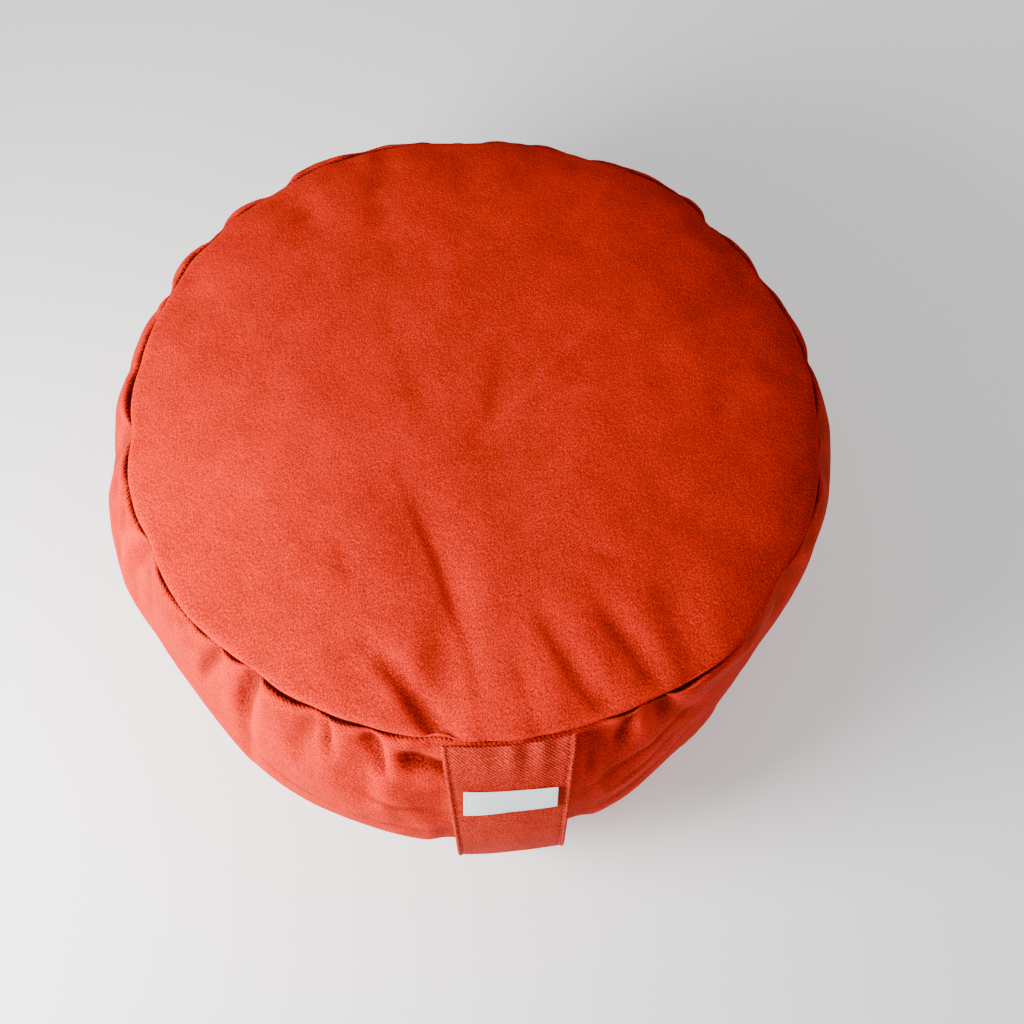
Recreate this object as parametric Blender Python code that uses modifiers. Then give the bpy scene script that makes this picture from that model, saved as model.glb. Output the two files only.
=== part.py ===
"""A round, filled meditation cushion lying on its base, with a sewn carrying strap and a blank label.

Units are metres and +Z is up. The origin is the middle of the base, on the floor, and the strap faces -Y.
A bearing is an angle round the cushion in degrees, 0 at the strap and positive towards +X.
"""

import math

import bmesh
import bpy
from mathutils import Vector

MM = 0.001

# Driving sizes of the filled cushion
HEIGHT = 0.150
SEAM_RADIUS = 0.1630
TOP_SEAM_HEIGHT = 0.137
BASE_SEAM_HEIGHT = 0.014
MEAN_BULGE = 0.018
FOOT_RADIUS = 0.147
GROOVE_DEPTH = 0.0026
RIM_OVERHANG = 0.0014

# Form of the panels between their seams
CROWN_POWER = 4.0
BAND_POWER = 2.2
BAND_FULLEST = 0.52
GROOVE_REACH = 0.0026
NOTCH_REACH = 0.011

# Fineness of the solid
ROUND_STEPS = 120
TOP_RINGS = 14
BAND_RINGS = 12
GROOVE_RINGS = (0.0015, 0.0048)
FOOT_RINGS = 3

# Driving sizes of the strap and its label
STRAP_WIDTH = 0.0575
STRAP_WAIST = 0.0485
STRAP_DRIFT = 0.0023
STRAP_THICKNESS = 0.0024
STRAP_SLACK = 0.0060
STRAP_CURVE_RADIUS = 0.300
STRAP_END_GAP = 0.0009
CLEARANCE = 0.0005
LABEL_WIDTH = 0.040
LABEL_LENGTH = 0.014
LABEL_THICKNESS = 0.0010
LABEL_TOP = 0.0160
LABEL_TURN = math.radians(-2.5)

# How far the seams stray from a true circle, and how far the band bulges, round the cushion
SECTORS = (
    # bearing, seam_mm, bulge_mm
    (-155, 1.8, 15),
    (-131, 4.6, 18),
    (-110, 4.0, 19),
    (-83, 2.2, 20),
    (-61, 1.2, 15),
    (-35, -1.0, 23),
    (-14, -0.6, 24),
    (10, 0.0, 20),
    (36, 4.4, 4),
    (51, 1.4, 5),
    (67, 2.4, 10),
    (85, -0.4, 11),
    (105, -2.4, 11),
    (124, 0.6, 11),
    (143, 0.0, 11),
    (175, 0.6, 13),
)

# Puckers where the seam draws the cloth in
PUCKERS = (
    # bearing, half_width, notch_mm, band_dent_mm, band_drop_mm, top_dent_mm, top_reach_mm
    (-147, 4.0, 2.5, 2.0, 24, 2.0, 34),
    (-133, 3.5, 2.0, 2.0, 22, 1.0, 26),
    (-119, 3.5, 0.8, 1.4, 26, 0.8, 24),
    (-91, 3.2, 3.6, 2.4, 26, 1.2, 22),
    (-70, 3.2, 2.6, 1.8, 28, 1.0, 20),
    (-49, 2.8, 1.2, 2.4, 30, 0.8, 20),
    (-42, 3.0, 2.4, 4.6, 48, 0.6, 20),
    (-30, 2.6, 0.6, 2.4, 22, 0.4, 18),
    (-22, 3.2, 0.8, 3.4, 30, 0.6, 22),
    (-11, 4.2, 1.0, 5.0, 34, 4.2, 46),
    (15, 3.0, 0.6, 3.4, 30, 0.8, 26),
    (23, 3.2, 1.6, 3.0, 26, 1.0, 30),
    (52, 4.0, 1.0, 1.2, 30, 1.4, 34),
    (76, 3.5, 0.8, 1.2, 28, 0.8, 24),
    (93, 4.0, 0.8, 1.6, 26, 2.6, 28),
    (111, 5.0, 0.6, 1.6, 28, 3.4, 40),
    (126, 3.6, 3.4, 2.4, 26, 2.2, 34),
    (153, 3.8, 1.2, 1.8, 26, 1.2, 30),
    (176, 3.8, 1.6, 1.8, 28, 2.0, 44),
)

# Soft troughs pressed into the top panel
TOP_CREASES = (
    # x_from, y_from, x_to, y_to, half_width, depth, all in mm
    (-37, -39, -11, -137, 7.5, 1.5),
    (-37, 44, -26, 4, 8.0, 1.1),
    (81, 54, 2, -29, 9.0, 1.0),
    (19, 30, 0, -27, 8.5, 0.8),
    (-39, 146, -37, 96, 10.0, 1.4),
    (-78, 130, -72, 105, 11.0, 1.3),
    (21, -114, 38, -149, 6.0, 1.4),
    (48, -113, 63, -140, 6.5, 1.2),
    (77, -89, 81, -141, 11.0, 1.8),
    (8, -125, 10, -155, 6.0, 0.9),
    (-64, -125, -33, -157, 9.0, 1.4),
    (114, -25, 88, 19, 14.0, 0.9),
)

# Long soft creases that run round the band
BAND_CREASES = (
    # bearing_from, height_from, bearing_to, height_to, half_width_mm, depth_mm
    (-41, 0.088, -25, 0.082, 6.0, 1.6),
    (-22, 0.102, -8, 0.096, 6.0, 1.8),
    (-20, 0.080, -7, 0.076, 5.5, 1.2),
    (10, 0.094, 35, 0.106, 6.0, 2.0),
    (10, 0.074, 32, 0.082, 6.0, 1.8),
    (57, 0.090, 79, 0.098, 7.0, 1.2),
    (101, 0.084, 129, 0.090, 7.0, 1.2),
    (150, 0.092, 176, 0.086, 7.0, 1.3),
    (-165, 0.078, -141, 0.086, 7.0, 1.2),
    (-107, 0.094, -79, 0.088, 7.0, 1.2),
)

CLOTH = (0.560, 0.078, 0.026, 1.0)
STRAP_CLOTH = (0.520, 0.082, 0.032, 1.0)
LABEL_CLOTH = (0.800, 0.830, 0.850, 1.0)


def remove_scene_objects():
    """Empties the scene that the script is run in."""
    for thing in list(bpy.data.objects):
        bpy.data.objects.remove(thing, do_unlink=True)


def make_material(name, colour, roughness):
    """A plain cloth material."""
    material = bpy.data.materials.new(name)
    material.use_nodes = True
    shader = material.node_tree.nodes["Principled BSDF"]
    shader.inputs["Base Color"].default_value = colour
    shader.inputs["Roughness"].default_value = roughness
    shader.inputs["Metallic"].default_value = 0.0
    return material


def angle_between(bearing, other):
    """The smallest turn from one bearing to the other, in degrees."""
    return (bearing - other + 180.0) % 360.0 - 180.0


def hill(distance, half_width):
    """A smooth hump, 1 in the middle and gone by about two half widths."""
    return math.exp(-((distance / half_width) ** 2))


def swell(distance, reach):
    """Rises from nothing to 1 at 0.4 of the reach, then dies away."""
    share = max(distance, 0.0) / (0.4 * reach)
    return share * math.exp(1.0 - share)


def sector(bearing):
    """The seam's stray from a circle and the band's bulge at a bearing, eased between the rows of SECTORS."""
    rows = [*SECTORS, (SECTORS[0][0] + 360.0, *SECTORS[0][1:])]
    turned = (bearing - SECTORS[0][0]) % 360.0 + SECTORS[0][0]
    for low, high in zip(rows[:-1], rows[1:]):
        if low[0] <= turned <= high[0]:
            share = (turned - low[0]) / (high[0] - low[0])
            eased = share * share * (3.0 - 2.0 * share)
            seam_mm, bulge_mm = (a + (b - a) * eased for a, b in zip(low[1:], high[1:]))
            return seam_mm * MM, bulge_mm * MM
    return 0.0, MEAN_BULGE


def fullness(height):
    """How much of its bulge the band has at a height: 0 at its seams and 1 where it is fullest."""
    share = (TOP_SEAM_HEIGHT - height) / (TOP_SEAM_HEIGHT - BASE_SEAM_HEIGHT)
    share = min(max(share, 0.0), 1.0)
    half = BAND_FULLEST if share < BAND_FULLEST else 1.0 - BAND_FULLEST
    return 1.0 - (abs(share - BAND_FULLEST) / half) ** BAND_POWER


def groove(height):
    """How far the band is drawn in beside its seams."""
    off_seam = min(abs(TOP_SEAM_HEIGHT - height), abs(height - BASE_SEAM_HEIGHT))
    return GROOVE_DEPTH * hill(off_seam, GROOVE_REACH)


def top_height(radius):
    """The height of the crowned top panel."""
    share = min(radius / SEAM_RADIUS, 1.0)
    return TOP_SEAM_HEIGHT + (HEIGHT - TOP_SEAM_HEIGHT) * math.sqrt(1.0 - share**CROWN_POWER)


def cushion_profile():
    """Radius and height from the middle of the top panel, over both seams, to the middle of the base."""
    points = []
    for ring in range(TOP_RINGS):
        share = ring / TOP_RINGS
        radius = SEAM_RADIUS * (0.6 * share + 0.4 * math.sin(share * math.pi / 2.0))
        points.append((radius, top_height(radius)))
    points.append((SEAM_RADIUS + RIM_OVERHANG, TOP_SEAM_HEIGHT + 1.8 * RIM_OVERHANG))
    band_heights = [TOP_SEAM_HEIGHT, *(TOP_SEAM_HEIGHT - drop for drop in GROOVE_RINGS)]
    first, last = band_heights[-1], BASE_SEAM_HEIGHT + GROOVE_RINGS[-1]
    for ring in range(1, BAND_RINGS):
        band_heights.append(first + (last - first) * ring / BAND_RINGS)
    band_heights += [BASE_SEAM_HEIGHT + rise for rise in reversed(GROOVE_RINGS)]
    band_heights.append(BASE_SEAM_HEIGHT)
    for height in band_heights:
        points.append((SEAM_RADIUS + MEAN_BULGE * fullness(height) - groove(height), height))
    points.append((SEAM_RADIUS + RIM_OVERHANG, BASE_SEAM_HEIGHT - 1.8 * RIM_OVERHANG))
    points.append(((SEAM_RADIUS + FOOT_RADIUS) / 2.0, BASE_SEAM_HEIGHT * 0.16))
    for ring in range(FOOT_RINGS):
        points.append((FOOT_RADIUS * (1.0 - ring / FOOT_RINGS), 0.0))
    points.append((0.0, 0.0))
    return points


def seam_drawing(bearing, radius, height):
    """How far the puckers draw a point in towards the axis, and down."""
    drawn_in, pressed_down = 0.0, 0.0
    below = TOP_SEAM_HEIGHT - height
    inside = SEAM_RADIUS - radius
    for middle, half_width, notch, dent, drop, top_dent, reach in PUCKERS:
        round_share = hill(angle_between(bearing, middle), half_width)
        if height > TOP_SEAM_HEIGHT:
            drawn_in += notch * MM * round_share * hill(inside, NOTCH_REACH)
            pressed_down += top_dent * MM * round_share * swell(inside, reach * MM)
        else:
            drawn_in += notch * MM * round_share * hill(below, NOTCH_REACH)
            drawn_in += dent * MM * round_share * swell(below, drop * MM)
    return drawn_in, pressed_down


def off_line(point, start, end):
    """The distance of a flat point from a line between two others."""
    along = end - start
    share = (point - start).dot(along) / along.length_squared
    nearest = start + along * min(max(share, 0.0), 1.0)
    return (point - nearest).length


def top_crease_depth(x, y):
    """How deep the top panel's troughs are at a place."""
    place = Vector((x / MM, y / MM))
    depth = 0.0
    for x_from, y_from, x_to, y_to, half_width, trough in TOP_CREASES:
        distance = off_line(place, Vector((x_from, y_from)), Vector((x_to, y_to)))
        depth += trough * MM * hill(distance, half_width)
    return depth


def band_crease_depth(bearing, height):
    """How deep the band's troughs are at a place."""
    arc = math.radians(SEAM_RADIUS) / MM
    depth = 0.0
    for from_bearing, from_height, to_bearing, to_height, half_width, trough in BAND_CREASES:
        place = Vector((angle_between(bearing, from_bearing) * arc, height / MM))
        start = Vector((0.0, from_height / MM))
        end = Vector(((to_bearing - from_bearing) * arc, to_height / MM))
        depth += trough * MM * hill(off_line(place, start, end), half_width)
    return depth


def placed(bearing, radius, height):
    """A point at a bearing, radius and height."""
    turn = math.radians(bearing)
    return Vector((radius * math.sin(turn), -radius * math.cos(turn), height))


def settled(point):
    """Where a point of the turned form lies once the filling has slumped and the seams have drawn in."""
    radius = math.hypot(point.x, point.y)
    bearing = math.degrees(math.atan2(point.x, -point.y))
    height = point.z
    seam_stray, bulge = sector(bearing)
    rim_share = min(radius / SEAM_RADIUS, 1.0) ** 4
    new_radius = radius + seam_stray * rim_share
    if height <= 0.0:
        return placed(bearing, radius, 0.0)
    if BASE_SEAM_HEIGHT <= height <= TOP_SEAM_HEIGHT:
        new_radius += (bulge - MEAN_BULGE) * fullness(height)
        new_radius -= band_crease_depth(bearing, height)
    drawn_in, pressed_down = seam_drawing(bearing, radius, height)
    new_radius -= drawn_in
    if height > TOP_SEAM_HEIGHT:
        pressed_down += top_crease_depth(point.x, point.y) * (1.0 - rim_share)
    return placed(bearing, new_radius, height - pressed_down)


def turned_mesh(name, points, steps):
    """A closed mesh turned about Z from a profile of radius and height."""
    mesh = bpy.data.meshes.new(name)
    corners = [(radius, 0.0, height) for radius, height in points]
    edges = [(i, i + 1) for i in range(len(corners) - 1)]
    mesh.from_pydata(corners, edges, [])
    blank = bpy.data.objects.new(name + "_profile", mesh)
    bpy.context.scene.collection.objects.link(blank)
    screw = blank.modifiers.new("turn", "SCREW")
    screw.axis = "Z"
    screw.steps = steps
    screw.render_steps = steps
    screw.use_merge_vertices = True
    screw.merge_threshold = 0.00005
    graph = bpy.context.evaluated_depsgraph_get()
    turned = bpy.data.meshes.new_from_object(blank.evaluated_get(graph))
    bpy.data.objects.remove(blank, do_unlink=True)
    return turned


def add_object(name, mesh, material, collection):
    """Puts a mesh in the collection as a named sub-part."""
    mesh.name = name
    mesh.materials.clear()
    mesh.materials.append(material)
    sub_part = bpy.data.objects.new(name, mesh)
    collection.objects.link(sub_part)
    return sub_part


def build_cushion(collection):
    """The filled body: top panel, band and base, parted by their drawn-in seams."""
    mesh = turned_mesh("cushion_body", cushion_profile(), ROUND_STEPS)
    for vertex in mesh.vertices:
        vertex.co = settled(vertex.co)
    mesh.shade_smooth()
    material = make_material("cushion_cloth", CLOTH, 0.9)
    return add_object("cushion_body", mesh, material, collection)


def band_point(bearing, height):
    """The band's surface with no puckers or creases."""
    seam_stray, bulge = sector(bearing)
    radius = SEAM_RADIUS + seam_stray + bulge * fullness(height) - groove(height)
    return placed(bearing, radius, height)


def strap_height(along):
    """The height of the strap at a share of its length, from its top end to its foot."""
    top = TOP_SEAM_HEIGHT - STRAP_END_GAP
    foot = BASE_SEAM_HEIGHT + STRAP_END_GAP
    return top + (foot - top) * along


def strap_middle(along):
    """0 at the strap's sewn ends and 1 halfway, where it hangs loosest and is drawn together most."""
    return math.sin(math.pi * along) ** 0.7


def strap_width(along):
    """The strap's width at a share of its length."""
    return STRAP_WIDTH - (STRAP_WIDTH - STRAP_WAIST) * strap_middle(along)


def strap_point(across, along):
    """A point on the strap's inner face, across from -0.5 to 0.5 and along from 0 to 1."""
    height = strap_height(along)
    loose = strap_middle(along)
    x = across * strap_width(along) - STRAP_DRIFT * loose
    middle = band_point(0.0, height)
    beside = band_point(math.degrees(math.asin(-x / middle.y)), height)
    flatter = middle.y + x * x / (2.0 * STRAP_CURVE_RADIUS)
    y = beside.y + (flatter - beside.y) * min(1.0, 1.6 * loose)
    return Vector((x, y - CLEARANCE - STRAP_SLACK * loose, height))


def strap_normal(across, along):
    """The outward direction of the strap's face."""
    step = 0.004
    sideways = strap_point(across + step, along) - strap_point(across - step, along)
    low, high = min(along + step, 1.0), max(along - step, 0.0)
    down = strap_point(across, low) - strap_point(across, high)
    return down.cross(sideways).normalized()


def sheet_mesh(name, columns, rows, place):
    """An open grid whose points are placed by a function of two shares from -0.5 to 0.5."""
    bm = bmesh.new()
    bmesh.ops.create_grid(bm, x_segments=columns, y_segments=rows, size=0.5)
    for vertex in bm.verts:
        vertex.co = place(vertex.co.x, vertex.co.y)
    mesh = bpy.data.meshes.new(name)
    bm.to_mesh(mesh)
    bm.free()
    return mesh


def add_thickness(sub_part, thickness):
    """Gives a sheet its cloth thickness on the outer side."""
    solidify = sub_part.modifiers.new("cloth_thickness", "SOLIDIFY")
    solidify.thickness = thickness
    solidify.offset = 1.0
    solidify.use_even_offset = True


def build_strap(collection):
    """The flat carrying strap, sewn into the top seam and the base seam."""

    def place(across, down):
        return strap_point(across, 0.5 - down)

    mesh = sheet_mesh("carrying_strap", 8, 26, place)
    material = make_material("strap_cloth", STRAP_CLOTH, 0.85)
    strap = add_object("carrying_strap", mesh, material, collection)
    add_thickness(strap, STRAP_THICKNESS)
    return strap


def build_label(collection):
    """The woven label, left blank, sewn flat on the strap."""
    strap_length = sum(
        (strap_point(0.0, (i + 1) / 40.0) - strap_point(0.0, i / 40.0)).length for i in range(40)
    )
    middle_along = (LABEL_TOP + LABEL_LENGTH / 2.0) / strap_length

    def place(across, down):
        flat = Vector((across * LABEL_WIDTH, down * LABEL_LENGTH, 0.0))
        x = flat.x * math.cos(LABEL_TURN) - flat.y * math.sin(LABEL_TURN)
        rise = flat.x * math.sin(LABEL_TURN) + flat.y * math.cos(LABEL_TURN)
        along = middle_along - rise / strap_length
        share = x / strap_width(along)
        outward = strap_normal(share, along)
        return strap_point(share, along) + outward * (STRAP_THICKNESS + CLEARANCE)

    mesh = sheet_mesh("woven_label", 10, 6, place)
    material = make_material("label_cloth", LABEL_CLOTH, 0.7)
    label = add_object("woven_label", mesh, material, collection)
    add_thickness(label, LABEL_THICKNESS)
    return label


def main():
    """Builds the cushion's three sub-parts."""
    remove_scene_objects()
    collection = bpy.data.collections.new("meditation_cushion")
    bpy.context.scene.collection.children.link(collection)
    build_cushion(collection)
    build_strap(collection)
    build_label(collection)


main()
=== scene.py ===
"""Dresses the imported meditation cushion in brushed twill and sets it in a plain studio.

The cushion is one filled cover: a crowned top panel, a bulging side band and a flat base, drawn in
at their seams. A folded carrying strap is sewn to its front and carries a blank woven label.
Lengths are metres. A bearing is an angle round the cushion, 0 at the strap and positive towards +X.
"""

import logging
import math
from abc import ABC, abstractmethod
from collections.abc import Sequence
from dataclasses import dataclass
from enum import Enum

import bmesh
import bpy
import numpy as np
from bmesh.types import BMesh, BMVert
from bpy.types import ID, Material, Mesh, Node, NodeSocket, Object
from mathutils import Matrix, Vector, noise
from mathutils.bvhtree import BVHTree


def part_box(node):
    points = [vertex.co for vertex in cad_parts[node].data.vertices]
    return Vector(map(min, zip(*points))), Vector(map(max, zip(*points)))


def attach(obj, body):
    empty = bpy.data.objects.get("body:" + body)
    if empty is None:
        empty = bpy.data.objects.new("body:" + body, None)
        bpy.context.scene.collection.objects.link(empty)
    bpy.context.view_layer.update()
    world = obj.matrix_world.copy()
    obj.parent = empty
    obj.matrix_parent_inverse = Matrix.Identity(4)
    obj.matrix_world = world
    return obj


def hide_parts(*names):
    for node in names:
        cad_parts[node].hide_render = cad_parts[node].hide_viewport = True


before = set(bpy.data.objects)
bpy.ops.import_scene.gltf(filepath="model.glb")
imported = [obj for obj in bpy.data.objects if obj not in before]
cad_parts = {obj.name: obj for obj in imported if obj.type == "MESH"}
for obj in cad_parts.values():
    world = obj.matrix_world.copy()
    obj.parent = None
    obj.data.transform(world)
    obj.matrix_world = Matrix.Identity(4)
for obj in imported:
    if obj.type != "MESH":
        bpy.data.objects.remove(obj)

log = logging.getLogger("meditation_cushion")

MM = 0.001
BODY = "root"

Array = np.ndarray
Colour = tuple[float, float, float]
Pair = tuple[float, float]
Place = tuple[float, float, float]
Values = Array | float
Stitch = tuple[Vector, Vector]
Inputs = dict[str | int, object]
Stops = tuple[tuple[float, Colour], ...]


class Signal:
    """An output socket of a material's nodes that takes part in Python expressions."""

    def __init__(self, graph: "MaterialGraph", socket: NodeSocket | None) -> None:
        """Keeps the socket and the graph that it belongs to."""
        self.graph, self.socket = graph, socket

    def _math(self, operation: str, *values: "Signal | float") -> "Signal":
        """The output of one Math node with these inputs."""
        return self.graph.add("ShaderNodeMath", {"operation": operation}, dict(enumerate(values)))

    def __add__(self, other: "Signal | float") -> "Signal":
        """This plus the other."""
        return self._math("ADD", self, other)

    __radd__ = __add__

    def __sub__(self, other: "Signal | float") -> "Signal":
        """This minus the other."""
        return self._math("SUBTRACT", self, other)

    def __rsub__(self, other: float) -> "Signal":
        """The other minus this."""
        return self._math("SUBTRACT", other, self)

    def __mul__(self, other: "Signal | float") -> "Signal":
        """This times the other."""
        return self._math("MULTIPLY", self, other)

    __rmul__ = __mul__

    def sine(self) -> "Signal":
        """The sine of this, an angle in radians."""
        return self._math("SINE", self)

    def clamped(self) -> "Signal":
        """This, held between 0 and 1."""
        return self.graph.add("ShaderNodeClamp", {}, {"Value": self})


class MaterialGraph:
    """The node tree of one material."""

    def __init__(self, name: str) -> None:
        """Starts an empty tree for a new material.

        Args:
            name: the material's name.
        """
        self.material = bpy.data.materials.new(name)
        self.material.use_nodes = True
        self.tree = self.material.node_tree
        self.tree.nodes.clear()

    def add(
        self, kind: str, settings: Inputs | None = None, inputs: Inputs | None = None, output: str | int = 0
    ) -> Signal:
        """Adds a node.

        Args:
            kind: the node's type.
            settings: its properties, and "stops" for a ramp's places and colours.
            inputs: a value or a link for each socket, by name or number.
            output: the output socket that is wanted.

        Returns:
            The wanted output.
        """
        node = self.tree.nodes.new(kind)
        for name, value in (settings or {}).items():
            if name == "stops":
                self._set_stops(node, value)
            else:
                setattr(node, name, value)
        for key, value in (inputs or {}).items():
            if isinstance(value, Signal):
                self.tree.links.new(value.socket, node.inputs[key])
            else:
                node.inputs[key].default_value = value
        return Signal(self, node.outputs[output] if len(node.outputs) else None)

    def _set_stops(self, node: Node, stops: Stops) -> None:
        """Gives a ramp its colours.

        Args:
            node: the ramp.
            stops: each stop's place from 0 to 1, and its colour.
        """
        elements = node.color_ramp.elements
        while len(elements) < len(stops):
            elements.new(1.0)
        for element, (place, colour) in zip(elements, stops):
            element.position = place
            element.color = (*colour, 1.0)

    def place(self) -> Signal:
        """The point on the object, in metres."""
        return self.add("ShaderNodeTexCoord", output="Object")

    def weave(self) -> Signal:
        """The point on the flat cloth, in metres, from the piece's own map."""
        return self.add("ShaderNodeUVMap", {"uv_map": "weave"})

    def measure(self, name: str) -> Signal:
        """A number that the piece's mesh carries at each point."""
        return self.add("ShaderNodeAttribute", {"attribute_name": name}, output="Fac")

    def turned(self, vector: Signal, turn: float, scale: Place) -> Signal:
        """A vector turned about Z by an angle in radians, then scaled along each axis."""
        rotated = self.add("ShaderNodeMapping", {}, {"Vector": vector, "Rotation": (0.0, 0.0, turn)})
        return self.add("ShaderNodeMapping", {}, {"Vector": rotated, "Scale": scale})

    def axis(self, vector: Signal, name: str) -> Signal:
        """One axis of a vector, by its name X, Y or Z."""
        return self.add("ShaderNodeSeparateXYZ", {}, {0: vector}, output=name)

    def speckle(self, vector: Signal, scale: float, detail: float = 2.0, rough: float = 0.5) -> Signal:
        """Noise from 0 to 1: its features per metre, its finer layers and how strong they are."""
        values = {"Vector": vector, "Scale": scale, "Detail": detail, "Roughness": rough}
        return self.add("ShaderNodeTexNoise", {}, values)

    def tone(self, value: Signal, stops: Stops) -> Signal:
        """A colour ramp."""
        return self.add("ShaderNodeValToRGB", {"stops": stops}, {0: value})

    def relief(self, height: Signal) -> Signal:
        """The normal of a surface raised by a height in metres."""
        return self.add("ShaderNodeBump", {}, {"Height": height, "Distance": 1.0, "Strength": 1.0})

    def finish(self, constants: Inputs, links: Inputs) -> Material:
        """Joins everything in a Principled shader.

        Args:
            constants: the shader's values that are the same all over.
            links: what feeds its other sockets.

        Returns:
            The material.
        """
        shader = self.add("ShaderNodeBsdfPrincipled", {}, {**constants, **links})
        self.add("ShaderNodeOutputMaterial", {}, {"Surface": shader})
        return self.material


@dataclass(frozen=True)
class BrushedTwill:
    """Dyed cotton twill, brushed so that a short nap half hides its diagonal ribs.

    The mesh carries "nap", 1 where the nap hides the ribs, "relief", 0.5 on even cloth, less in a
    fold and more on a ridge, which paints shade into the folds and highlight onto the ridges, and
    "crevice", painted shade, 1 where a seam or a dent is too deep for the light.
    """

    name: str
    dark: Colour
    deep: Colour
    ground: Colour
    light: Colour
    rib_pitch: float = 1.3 * MM
    rib_turn: float = math.radians(-52.0)
    strand_turn: float = math.radians(38.0)
    rib_height: float = 0.16 * MM
    nap_height: float = 0.20 * MM
    tuft_height: float = 0.22 * MM
    sheen: float = 0.08

    def material(self) -> Material:
        """Builds the cloth's material."""
        g = MaterialGraph(self.name)
        cloth = g.weave()
        place = g.place()
        nap = g.measure("nap")
        relief = g.measure("relief")

        wander = g.speckle(cloth, 45.0) * 1.6
        across_ribs = g.axis(g.turned(cloth, self.rib_turn, (1.0, 1.0, 1.0)), "X")
        rib = (across_ribs * (math.tau / self.rib_pitch) + wander).sine() * 0.5 + 0.5
        yarn = g.speckle(g.turned(cloth, self.rib_turn, (1500.0, 420.0, 1.0)), 1.0)
        bare = 1.0 - nap

        strands = g.speckle(g.turned(cloth, self.strand_turn, (1950.0, 820.0, 1.0)), 1.0, 2.0, 0.7)
        fuzz = g.speckle(place, 1900.0, 2.0, 0.8)
        grain = strands * 0.55 + fuzz * 0.45
        tuft = g.speckle(place, 210.0, 3.0, 0.6)
        mottle = g.speckle(place, 42.0, 3.0, 0.55)
        fade = g.speckle(place, 9.0, 2.0, 0.5)

        level = 0.47 + (grain - 0.5) * 7.2 + (tuft - 0.5) * 0.4 + (mottle - 0.5) * 0.6
        # Painted shade in the folds and painted highlight on the ridges, from the relief measure.
        level = level + (fade - 0.5) * 0.6 + (relief - 0.5) * 0.7
        level = level + (rib - 0.6) * bare * 0.8 + (yarn - 0.5) * bare * 0.9
        # Painted shade: the crevice measure darkens the seams and the deeper dents.
        level = (level.clamped() * 0.8 + 0.2) - g.measure("crevice") * 0.95
        stops = ((0.0, self.dark), (0.2, self.deep), (0.6, self.ground), (1.0, self.light))
        height = grain * nap * self.nap_height + tuft * self.tuft_height
        height = height + (rib + yarn * 0.35) * bare * self.rib_height
        return g.finish(
            {
                "Metallic": 0.0,
                "Specular IOR Level": 0.07,
                "Specular Tint": (1.0, 0.30, 0.20, 1.0),
                "Sheen Weight": self.sheen,
                "Sheen Roughness": 0.45,
                "Sheen Tint": (1.0, 0.12, 0.05, 1.0),
            },
            {
                "Base Color": g.tone(level, stops),
                "Roughness": 0.88 + (grain - 0.5) * 0.2,
                "Normal": g.relief(height),
            },
        )


@dataclass(frozen=True)
class WovenSatin:
    """The label's close white weave, plain and unlettered."""

    name: str
    ground: Colour
    shade: Colour
    thread_pitch: float = 0.36 * MM
    thread_height: float = 0.05 * MM
    lint_height: float = 0.03 * MM

    def material(self) -> Material:
        """Builds the label's material."""
        g = MaterialGraph(self.name)
        cloth = g.weave()
        turn = math.tau / self.thread_pitch
        warp = (g.axis(cloth, "X") * turn).sine() * 0.5 + 0.5
        weft = (g.axis(cloth, "Y") * turn * 0.8).sine() * 0.5 + 0.5
        lint = g.speckle(g.place(), 900.0, 2.0, 0.6)
        handled = g.speckle(g.place(), 110.0, 3.0, 0.6)
        level = 0.62 + (warp * weft - 0.25) * 0.30 + (handled - 0.5) * 0.7 + (lint - 0.5) * 0.3
        # Painted shade in the label's dips and painted highlight on its ridges, from the relief measure.
        level = level + (g.measure("relief") - 0.5) * 1.5
        height = (warp * 0.6 + weft) * self.thread_height + lint * self.lint_height
        return g.finish(
            {"Specular IOR Level": 0.4, "Sheen Weight": 0.15, "Sheen Roughness": 0.3},
            {
                "Base Color": g.tone(level, ((0.1, self.shade), (0.6, self.ground))),
                "Roughness": 0.55 + (lint - 0.5) * 0.2,
                "Normal": g.relief(height),
            },
        )


@dataclass(frozen=True)
class SewingThread:
    """Twisted polyester thread."""

    name: str
    ground: Colour
    shade: Colour
    twist_height: float = 0.05 * MM

    def material(self) -> Material:
        """Builds the thread's material."""
        g = MaterialGraph(self.name)
        place = g.place()
        twist = g.speckle(place, 2600.0, 1.0, 0.5)
        length = g.speckle(place, 240.0, 2.0, 0.5)
        level = 0.5 + (twist - 0.5) * 1.2 + (length - 0.5) * 0.6
        return g.finish(
            {"Specular IOR Level": 0.45, "Sheen Weight": 0.1},
            {
                "Base Color": g.tone(level, ((0.2, self.shade), (0.7, self.ground))),
                "Roughness": 0.5 + (twist - 0.5) * 0.2,
                "Normal": g.relief(twist * self.twist_height),
            },
        )


@dataclass(frozen=True)
class PaleFloor:
    """A plain, almost white floor that glows a little, as a light table does."""

    name: str
    ground: Colour
    glow: float = 0.4

    def material(self) -> Material:
        """Builds the floor's material."""
        g = MaterialGraph(self.name)
        haze = g.speckle(g.place(), 3.0, 2.0, 0.5)
        shade = tuple(part * 0.985 for part in self.ground)
        return g.finish(
            {
                "Roughness": 0.9,
                "Specular IOR Level": 0.1,
                "Emission Color": (1.0, 1.0, 1.0, 1.0),
                "Emission Strength": self.glow,
            },
            {"Base Color": g.tone(haze, ((0.3, shade), (0.7, self.ground)))},
        )


def hump(offset: Values, width: float) -> Values:
    """A bell curve, 1 at no offset and 0.37 at one width."""
    return np.exp(-((offset / width) ** 2))


def ramp(value: Values, start: float, end: float) -> Values:
    """A straight change from 0 at the start to 1 at the end, level beyond both."""
    return np.clip((value - start) / (end - start), 0.0, 1.0)


class FoldEnds(Enum):
    """Where a fold dies away."""

    BOTH = "both"
    FIRST = "first"
    LAST = "last"


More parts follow.
